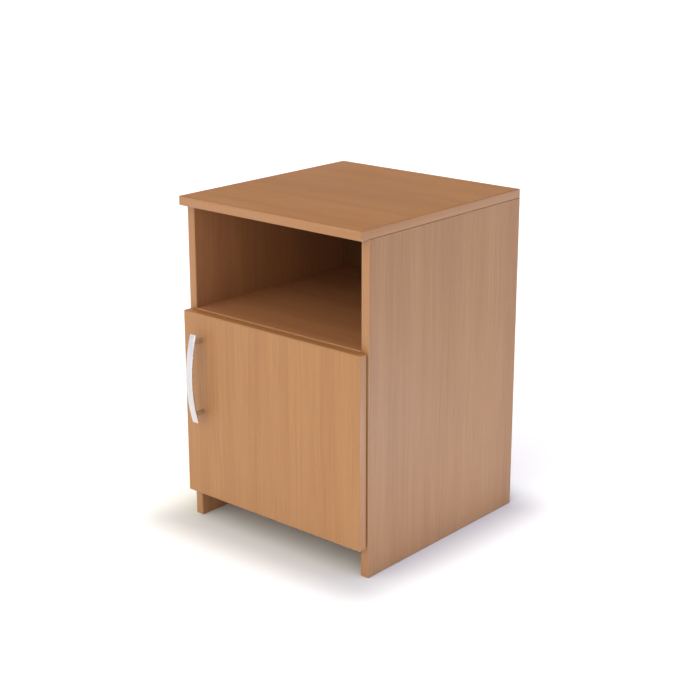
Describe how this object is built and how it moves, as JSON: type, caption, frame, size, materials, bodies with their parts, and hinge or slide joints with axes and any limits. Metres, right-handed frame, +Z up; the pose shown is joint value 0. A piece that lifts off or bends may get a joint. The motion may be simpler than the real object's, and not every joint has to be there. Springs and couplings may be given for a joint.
{
  "type": "bedside cabinet",
  "caption": "Low wood-decor bedside cabinet with an open compartment above a hinged overlay door with a bow handle; its side panels stand on the floor.",
  "frame": {"origin": "middle of the object's footprint, on the floor, with the closed door and its handle counted in", "axes": "+Z up, the door and the open compartment face -Y, +X is towards the hinged side"},
  "size_m": [0.4, 0.449, 0.58],
  "materials": {
    "beech_board": "matt beech decor, vertical grain",
    "beech_edge": "satin beech edge band",
    "hardboard": "thin beech decor board",
    "dowel_wood": "raw beech",
    "satin_metal": "satin",
    "nickel_steel": "nickel plated",
    "zinc_steel": "zinc plated"
  },
  "bodies": {
    "carcass": {"back_panel": "hardboard", "bottom_panel": "beech_board", "bottom_panel_edge_band": "beech_edge", "dowel_bottom_left_front": "dowel_wood", "dowel_bottom_left_rear": "dowel_wood", "dowel_bottom_right_front": "dowel_wood", "dowel_bottom_right_rear": "dowel_wood", "dowel_shelf_left_front": "dowel_wood", "dowel_shelf_left_rear": "dowel_wood", "dowel_shelf_right_front": "dowel_wood", "dowel_shelf_right_rear": "dowel_wood", "dowel_top_left_front": "dowel_wood", "dowel_top_left_rear": "dowel_wood", "dowel_top_right_front": "dowel_wood", "dowel_top_right_rear": "dowel_wood", "fixed_shelf": "beech_board", "fixed_shelf_edge_band": "beech_edge", "left_side_panel": "beech_board", "left_side_panel_edge_band": "beech_edge", "lower_hinge_adjusting_screw": "zinc_steel", "lower_hinge_arm": "nickel_steel", "lower_hinge_arm_pin_inner": "nickel_steel", "lower_hinge_arm_pin_outer": "nickel_steel", "lower_hinge_clamp_screw": "zinc_steel", "lower_hinge_mounting_plate": "nickel_steel", "lower_hinge_plate_screw_bottom": "zinc_steel", "lower_hinge_plate_screw_top": "zinc_steel", "lower_hinge_spring": "zinc_steel", "right_side_panel": "beech_board", "right_side_panel_edge_band": "beech_edge", "top_edge_band": "beech_edge", "top_panel": "beech_board", "upper_hinge_adjusting_screw": "zinc_steel", "upper_hinge_arm": "nickel_steel", "upper_hinge_arm_pin_inner": "nickel_steel", "upper_hinge_arm_pin_outer": "nickel_steel", "upper_hinge_clamp_screw": "zinc_steel", "upper_hinge_mounting_plate": "nickel_steel", "upper_hinge_plate_screw_bottom": "zinc_steel", "upper_hinge_plate_screw_top": "zinc_steel", "upper_hinge_spring": "zinc_steel"},
    "inner_links": {"upper_hinge_inner_link": "nickel_steel", "lower_hinge_inner_link": "nickel_steel"},
    "outer_links": {"upper_hinge_outer_link": "nickel_steel", "lower_hinge_outer_link": "nickel_steel"},
    "door": {"door_panel": "beech_board", "door_edge_band": "beech_edge", "handle_bar": "satin_metal", "handle_post_upper": "satin_metal", "handle_post_lower": "satin_metal", "handle_screw_upper": "zinc_steel", "handle_screw_lower": "zinc_steel", "upper_hinge_cup": "nickel_steel", "upper_hinge_cup_pin": "nickel_steel", "upper_hinge_cup_screw_top": "zinc_steel", "upper_hinge_cup_screw_bottom": "zinc_steel", "lower_hinge_cup": "nickel_steel", "lower_hinge_cup_pin": "nickel_steel", "lower_hinge_cup_screw_top": "zinc_steel", "lower_hinge_cup_screw_bottom": "zinc_steel"}
  },
  "joints": [
    {"name": "inner_link_swing", "type": "hinge", "parent": "carcass", "child": "inner_links", "pos_m": [0.1615, -0.1712, 0.217], "axis": [0, 0, 1], "range_deg": [-35.9, 0]},
    {"name": "outer_link_swing", "type": "hinge", "parent": "carcass", "child": "outer_links", "pos_m": [0.164, -0.1825, 0.217], "axis": [0, 0, 1], "range_deg": [-55.85, 0]},
    {"name": "door_swing", "type": "hinge", "parent": "inner_links", "child": "door", "pos_m": [0.1858, -0.1793, 0.217], "axis": [0, 0, 1], "range_deg": [0, 140.7]}
  ],
  "couplings": [
    {"joint": "inner_link_swing", "follows": "door_swing", "ratio": -0.25373},
    {"joint": "outer_link_swing", "follows": "door_swing", "ratio": -0.39552}
  ]
}
